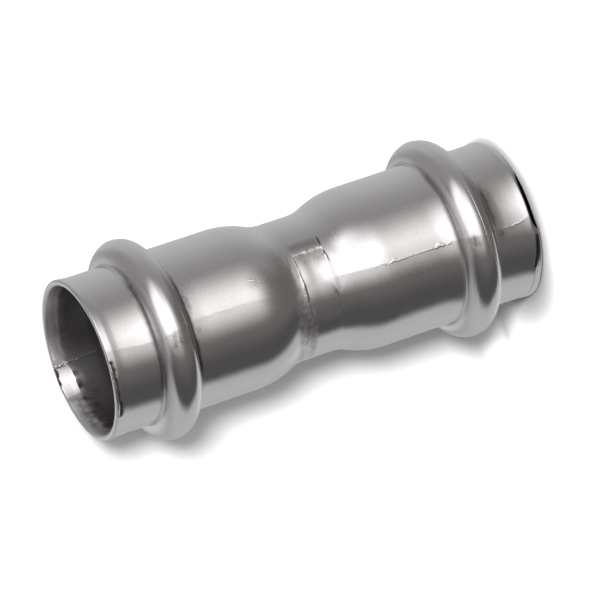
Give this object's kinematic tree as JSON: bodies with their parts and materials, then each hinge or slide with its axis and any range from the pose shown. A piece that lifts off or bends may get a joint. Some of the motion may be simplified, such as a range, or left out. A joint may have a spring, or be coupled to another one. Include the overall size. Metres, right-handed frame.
{
  "type": "press fit fitting",
  "caption": "Straight press fitting that joins two pipes: a tube drawn in at the middle, with a seal ring inside the rolled bead near each open end.",
  "frame": {"origin": "on the fitting's axis, in the plane of the lower rim that it stands on", "axes": "+Z along the axis from the lower socket to the upper socket; the blank marking field on the neck faces -Y"},
  "size_m": [0.0254, 0.0254, 0.0591],
  "materials": {
    "stainless_tube": "pickled and barrel polished stainless steel with fine draw lines",
    "seal_rubber": "matt black moulded rubber"
  },
  "bodies": {
    "root": {"fitting_body": "stainless_tube", "upper_seal_ring": "seal_rubber", "lower_seal_ring": "seal_rubber"}
  },
  "joints": []
}
